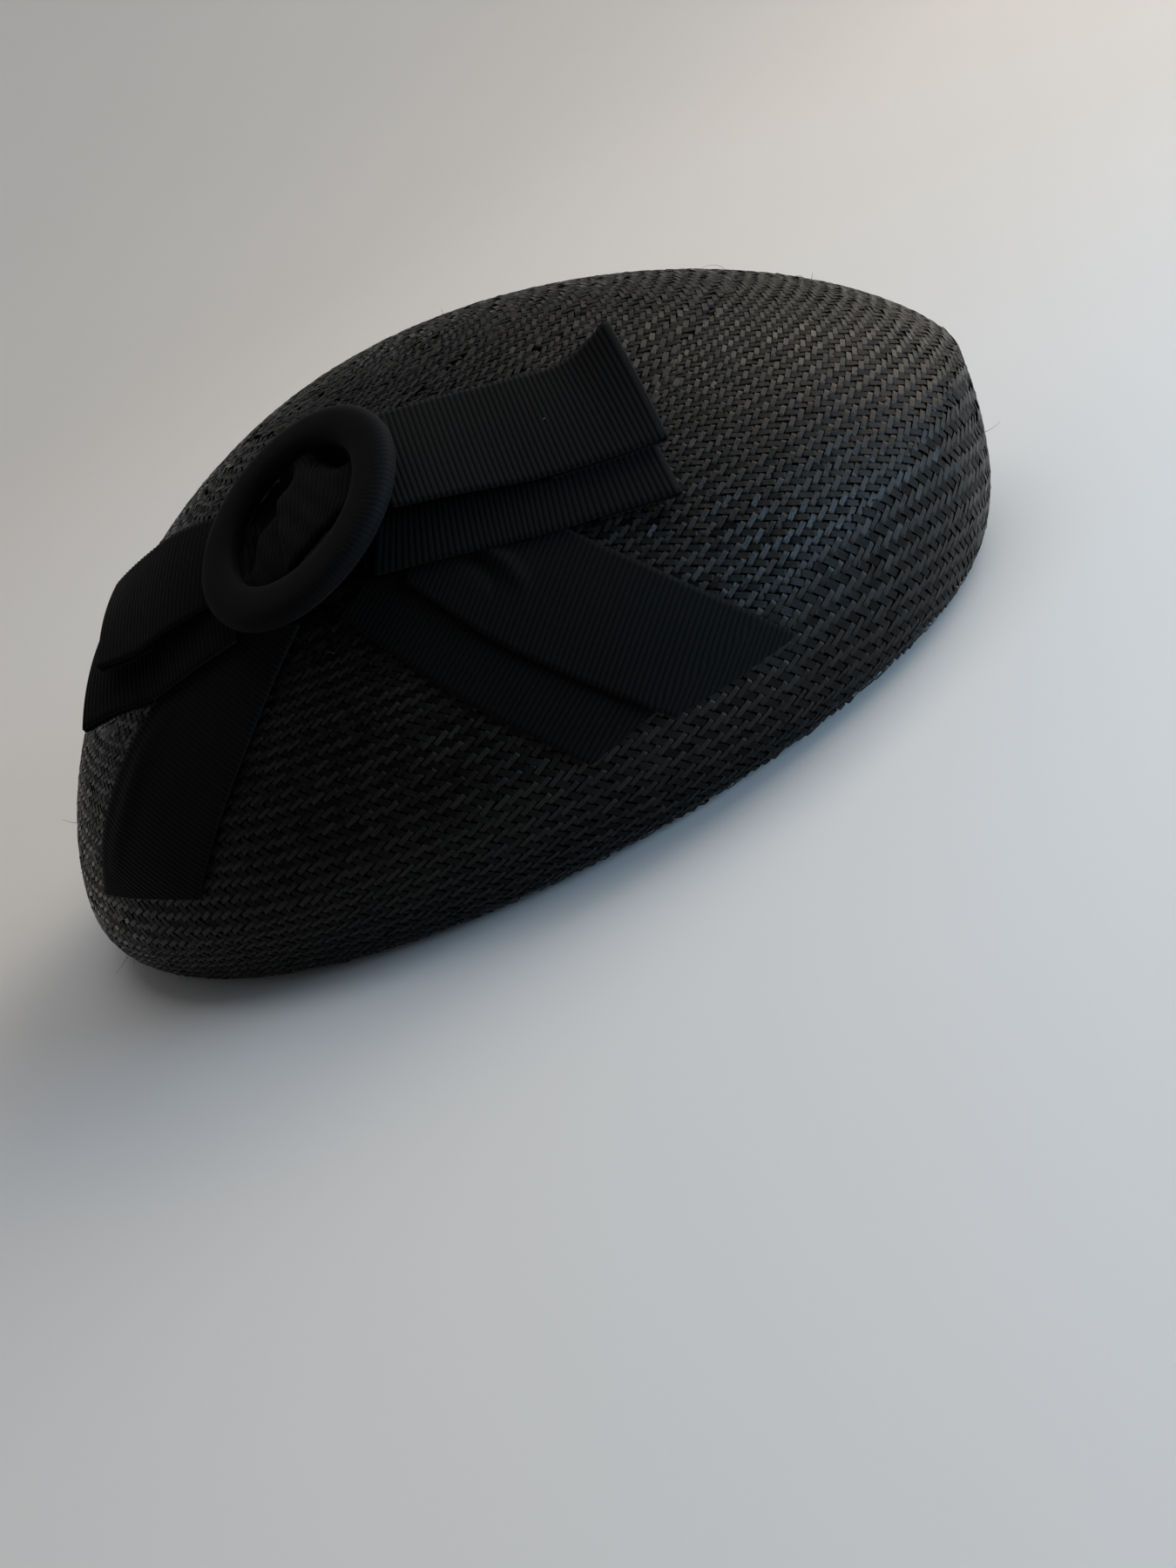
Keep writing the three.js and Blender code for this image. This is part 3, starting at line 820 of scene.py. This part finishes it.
def makeRing():
    angle = np.arange(ring["sides"]) * 2 * math.pi / ring["sides"]
    bend = np.arange(ring["sectionSides"]) * 2 * math.pi / ring["sectionSides"]
    a, b = np.meshgrid(angle, bend, indexing="ij")
    rib = np.abs(np.sin(a * ring["ribCount"] / 2)) ** grosgrain["ribRound"]
    inside = ring["ribInside"]  # the ribs are fainter round the inner side
    puff = ring["ribHeight"] * rib * (inside + (1 - inside) * np.clip(np.cos(b), 0, 1))
    middle = ring["radius"] + ring["oval"] * np.cos(2 * (a - math.radians(ring["ovalAt"])))
    halfBand = ring["halfBand"] + ring["wider"] * np.cos(a - math.radians(ring["widerAt"])) + puff
    thick = np.where(np.sin(b) > 0, ring["rise"], ring["sag"]) + puff
    reach = middle + halfBand * np.sign(np.cos(b)) * np.abs(np.cos(b)) ** ring["full"]
    height = thick * np.sign(np.sin(b)) * np.abs(np.sin(b)) ** ring["full"]
    local = np.stack([reach * np.cos(a), reach * np.sin(a), height], -1)
    turn = Matrix.Rotation(math.radians(-ring["tiltSide"]), 3, "X")
    turn = turn @ Matrix.Rotation(math.radians(-ring["tiltBack"]), 3, "Y")
    basis = np.stack([bowFront, bowSide, bowUp], -1)
    seat = bowMiddle + bowUp * ring["lift"] + bowFront * ring["forward"] + bowSide * ring["upward"]
    points = local @ (basis @ np.array(turn)).T + seat
    wrapped = np.concatenate([points, points[:1]])
    faces = gridFaces(len(wrapped), ring["sectionSides"], True) % (ring["sides"] * ring["sectionSides"])
    cover = meshObject("ring_cover", points, faces, ringFinish)
    # the rib also paints shade into the valleys through the cloth colour
    setAttribute(cover, "rib", "FLOAT", rib)
    return cover


inPlace(makeRing(), "ring_cover", "buckle_ring")


# Knot: the gathered ribbon that fills the ring, a pillow with hollows pressed into it

knot = {
    "along": -2.5, "across": 1.5, "halfLength": 23.2, "halfWidth": 23.0,
    "rise": 1.6, "fall": 4.2, "foot": 2.3, "hollowReach": 0.84,
    "step": 2.6, "stepAt": -4.5, "stepSlant": 0.1, "stepWidth": 2.2,
    "waver": 0.15, "waverAlong": 0.9, "waverAcross": 0.35,
    "ribHeight": 0.32, "ribCrowd": 1.05, "ribSlant": 0.65, "ribTurn": 4.0,
    "ribWave": 0.9, "ribWaveLength": 3.0, "rows": 230, "columns": 140,
}
knotHollows = [  # along, across, half length, half width, direction of the length, depth
    (-6.0, 15.0, 8.0, 3.6, 200, 8.0), (14.0, 12.6, 6.0, 3.6, 124, 8.0), (-17.5, 5.5, 6.0, 2.2, 245, 5.0),
    (3.0, -10.5, 12.0, 0.9, 15, 3.6), (-10.0, -13.5, 7.0, 1.8, 340, 4.5),
]


def ringLevel(a, b):  # height over the straw of the ring's middle plane
    slopeBack, slopeSide = (math.tan(math.radians(ring[key])) for key in ("tiltBack", "tiltSide"))
    level = bowMiddle + a[..., None] * bowFront + b[..., None] * bowSide
    plane = ring["lift"] + (a - ring["forward"]) * slopeBack - (b - ring["upward"]) * slopeSide
    return plane + ((level - seatOnStraw(level, 4)) * bowUp).sum(-1)


def easeIn(value):
    value = np.clip(value, 0, 1)
    return value * value * (3 - 2 * value)


def knotLift(a, b):
    out = np.hypot((a - knot["along"]) / knot["halfLength"], (b - knot["across"]) / knot["halfWidth"])
    lift = ringLevel(a, b) + knot["rise"] - knot["fall"] * out ** 4
    lift = lift - knot["step"] * easeIn((knot["stepAt"] + knot["stepSlant"] * b - a) / knot["stepWidth"])
    lift = lift + knot["waver"] * np.sin(knot["waverAlong"] * a + knot["waverAcross"] * b)
    fade = 1 - easeIn((out - knot["hollowReach"]) / (1 - knot["hollowReach"]))
    for along, across, halfLength, halfWidth, direction, depth in knotHollows:
        turn = math.radians(direction)
        lengthwise = (a - along) * math.cos(turn) + (b - across) * math.sin(turn)
        sideways = (b - across) * math.cos(turn) - (a - along) * math.sin(turn)
        press = np.exp(-(lengthwise / halfLength) ** 4 - (sideways / halfWidth) ** 2)
        lift = lift - depth * press * fade
    return np.maximum(lift, knot["foot"])


def makeKnot():
    x, y = np.meshgrid(np.linspace(-1, 1, knot["rows"]), np.linspace(-1, 1, knot["columns"]), indexing="ij")
    along = knot["along"] + knot["halfLength"] * x * np.sqrt(1 - y ** 2 / 2)
    across = knot["across"] + knot["halfWidth"] * y * np.sqrt(1 - x ** 2 / 2)
    points = placeOnStraw(0, along, across, knotLift(along, across))
    ribbon = meshObject("knot_gather", points, gridFaces(knot["rows"], knot["columns"]), grosgrainFinish)
    bent = across - np.logaddexp(0, across - knot["ribTurn"])
    wave = knot["ribWave"] * np.sin(across / knot["ribWaveLength"])
    setAttribute(ribbon, "along", "FLOAT", knot["ribCrowd"] * (along - knot["ribSlant"] * bent + wave))
    return ribbedCloth(ribbon, knot["ribHeight"]), clothSize(points)


knotGather, knotCut = makeKnot()
inPlace(knotGather, "ribbon", "knot_ribbon")


# Stray fibres: loose ends that stand off the straw, and bits of lint on the bow

fibres = {
    "radius": 0.07, "taper": 0.6, "sides": 5, "steps": 12, "seed": 11, "rimCount": 46, "crownCount": 30,
    "rimDrops": (1.1, 1.95), "crownDrops": (0.2, 1.0), "lengths": (1.5, 4.0), "stands": (0.3, 0.9),
    "curls": (-1.2, 1.2), "sideRise": 0.4, "sink": 0.3, "floorRoom": 1.0, "lintRadius": 0.091,
    "grainScale": 900.0,
}
longFibres = [  # drop, angle, length, how far it stands up, curl
    (1.22, -158.8, 9.0, 0.9, 0.7), (1.73, -129.2, 8.0, 0.8, -0.6), (0.71, -172.2, 6.0, 0.9, 0.5),
    (1.31, -10.7, 7.0, 0.9, 0.8), (0.66, 8.0, 11.0, 0.5, 3.2), (0.6, 22.0, 13.0, 0.55, 1.4),
]
lint = [  # heading, along, across, lift, length, curl
    (0, 19.8, 16.0, 14.6, 5.0, 4.5), (-2, 64.2, -2.8, 8.6, 0.8, 0.5), (-59, 42.0, 2.0, 1.6, 1.6, 3.0),
]


def fibreMaterial(name, dark, light):
    material, sheet = newMaterial(name)
    colour = tint(sheet, noise(sheet, fibres["grainScale"], 2.0), dark, light)
    finishMaterial(sheet, {"Base Color": colour}, {"Roughness": 0.5, "Specular IOR Level": 0.3})
    return material


def strand(start, ahead, bendTo, length, curl, radius):
    t = np.linspace(0, 1, fibres["steps"])
    turn = curl * t
    ahead, bendTo = unit(ahead), unit(bendTo - unit(ahead) * (bendTo @ unit(ahead)))
    heading = np.cos(turn)[:, None] * ahead + np.sin(turn)[:, None] * bendTo
    middle = start + (np.cumsum(heading, axis=0) - heading[0]) * length / fibres["steps"]
    sideways = unit(np.cross(heading, np.cross(ahead, bendTo)))
    up = np.cross(heading, sideways)
    bend = np.arange(fibres["sides"]) * 2 * math.pi / fibres["sides"]
    thin = radius * (1 - fibres["taper"] * t)
    around = np.cos(bend)[None, :, None] * sideways[:, None] + np.sin(bend)[None, :, None] * up[:, None]
    return middle[:, None] + around * thin[:, None, None]


def joinStrands(name, strands, material):
    faces, points = [], []
    for rings in strands:
        base = len(points) * fibres["steps"] * fibres["sides"]
        faces += (gridFaces(fibres["steps"], fibres["sides"], True) + base).tolist()
        faces.append([base + side for side in range(fibres["sides"])][::-1])
        last = base + (fibres["steps"] - 1) * fibres["sides"]
        faces.append([last + side for side in range(fibres["sides"])])
        points.append(rings.reshape(-1, 3))
    return meshObject(name, np.concatenate(points), faces, material)


def makeFibres():
    rng = np.random.default_rng(fibres["seed"])
    chosen = list(longFibres)
    for place in ("rim", "crown"):
        spreads = (fibres[place + "Drops"], (-180, 180), fibres["lengths"], fibres["stands"], fibres["curls"])
        for _ in range(fibres[place + "Count"]):
            chosen.append(tuple(rng.uniform(*spread) for spread in spreads))
    strands = []
    for drop, angle, length, stand, curl in chosen:
        foot = bodyPoint(drop, math.radians(angle))
        out = strawNormal(foot)
        side = unit(np.cross(out, (0, 0, 1.0)) * rng.choice((-1, 1)) + (0, 0, fibres["sideRise"]))
        ahead = out * stand + side * (1 - stand)
        loose = strand(foot - out * fibres["sink"], ahead, side, length, curl, fibres["radius"])
        if loose[..., 2].min() > fibres["floorRoom"]:
            strands.append(loose)
    material = fibreMaterial("fibre_finish", (0.01, 0.009, 0.008), (0.05, 0.045, 0.04))
    return joinStrands("stray_fibres", strands, material)


def makeLint():
    strands = []
    for heading, along, across, lift, length, curl in lint:
        place = placeOnStraw(heading, along, across, lift)
        out = strawNormal(place)
        ahead = unit(np.cross(out, bowSide))
        strands.append(strand(place, ahead, np.cross(out, ahead), length, curl, fibres["lintRadius"]))
    material = fibreMaterial("lint_finish", (0.12, 0.11, 0.1), (0.3, 0.29, 0.28))
    return joinStrands("lint_bits", strands, material)


inPlace(makeFibres(), "straw")
inPlace(makeLint(), "ribbon")


# Camera at the photograph's angle

view = {  # degrees, then millimetres
    "azimuth": 5.632, "elevation": 23.002, "roll": -29.108,
    "across": 7.612, "up": -20.151, "away": 631.955, "lens": 48, "near": 0.01, "far": 50,
}


def makeCamera():
    azimuth, elevation, roll = (math.radians(view[key]) for key in ("azimuth", "elevation", "roll"))
    level = math.cos(elevation)
    back = Vector((math.sin(azimuth) * level, -math.cos(azimuth) * level, math.sin(elevation)))
    right = Vector((math.cos(azimuth), math.sin(azimuth), 0))
    up = back.cross(right)
    across = right * math.cos(roll) + up * math.sin(roll)
    upward = up * math.cos(roll) - right * math.sin(roll)
    lens = bpy.data.cameras.new("photo_view")
    lens.lens = view["lens"]
    camera = bpy.data.objects.new("photo_view", lens)
    scene.collection.objects.link(camera)
    place = (back * view["away"] + across * view["across"] + upward * view["up"]) * mm
    camera.matrix_world = Matrix((across, upward, back)).transposed().to_4x4()
    camera.location = place
    lens.clip_start, lens.clip_end = view["near"], view["far"]
    scene.camera = camera


makeCamera()
print("camera set")


# Floor and light

studio = {
    "rings": (60, 400, 900), "flat": 1000, "curve": 1200, "wall": 2600, "curveRows": 13, "sides": 96,
    "wallFrom": -0.2, "wallEase": 0.6, "dark": (0.76, 0.75, 0.73), "light": (0.8, 0.79, 0.77),
    "cloudScale": 3.0, "ambient": (0.11, 0.115, 0.125), "backdrop": (0.5, 0.51, 0.52), "aimHeight": 0.06,
}
lights = [  # name, direction, distance and size in metres, power, colour
    ("window_warm", (0.82, 0.4, 0.55), 1.7, 1.2, 16.5, (1.0, 0.9, 0.78)),
    ("window_cool", (0.9, -0.43, -0.02), 0.75, 0.46, 9.5, (0.5, 0.74, 1.0)),
    ("soft_top", (0.2, 0.1, 1.0), 1.9, 1.6, 10, (0.98, 0.98, 1.0)),
]


def makeFloor():
    material, sheet = newMaterial("floor_finish")
    cloud = noise(sheet, studio["cloudScale"], 3.0)
    colour = tint(sheet, cloud, studio["dark"], studio["light"])
    finishMaterial(sheet, {"Base Color": colour}, {"Roughness": 0.9})
    turn = np.linspace(0, math.pi / 2, studio["curveRows"])
    curve = studio["flat"] + studio["curve"] * np.sin(turn)
    reach = np.concatenate([studio["rings"], curve, curve[-1:]])
    bank = studio["curve"] * (1 - np.cos(turn))
    height = np.concatenate([[0] * len(studio["rings"]), bank, [studio["wall"]]])
    angle = np.arange(studio["sides"]) * 2 * math.pi / studio["sides"]
    behind = easeIn((np.sin(angle) - studio["wallFrom"]) / studio["wallEase"])
    outward = np.stack([np.cos(angle), np.sin(angle)], -1)
    points = [np.column_stack([outward * r, h * behind]) for r, h in zip(reach, height)]
    faces = gridFaces(len(reach), len(angle), True).tolist() + [list(range(len(angle)))]
    floor = meshObject("floor", np.concatenate(points), faces, material)


def areaLight(name, direction, distance, size, power, colour):
    data = bpy.data.lights.new(name, "AREA")
    data.size = size
    data.energy = power
    data.color = colour
    light = bpy.data.objects.new(name, data)
    scene.collection.objects.link(light)
    place = Vector(direction).normalized() * distance
    light.location = place + Vector((0, 0, studio["aimHeight"]))
    light.visible_camera = False
    light.rotation_mode = "QUATERNION"
    light.rotation_quaternion = place.to_track_quat("Z", "Y")


makeFloor()
for light in lights:
    areaLight(*light)


def makeWorld():  # a dim room, with a pale one where the view passes the edge of the floor
    world = bpy.data.worlds.new("studio")
    world.use_nodes = True
    world.node_tree.nodes.clear()
    sheet = NodeSheet(world.node_tree)
    seen = sheet.add("ShaderNodeLightPath")
    room = sheet.add("ShaderNodeBackground", None, {"Color": (*studio["ambient"], 1)})
    pale = sheet.add("ShaderNodeBackground", None, {"Color": (*studio["backdrop"], 1)})
    mixed = sheet.add("ShaderNodeMixShader", None, {0: seen, 1: room, 2: pale})
    sheet.add("ShaderNodeOutputWorld", None, {"Surface": mixed})
    scene.world = world


makeWorld()
scene.view_settings.view_transform = "Standard"
print("lights set")
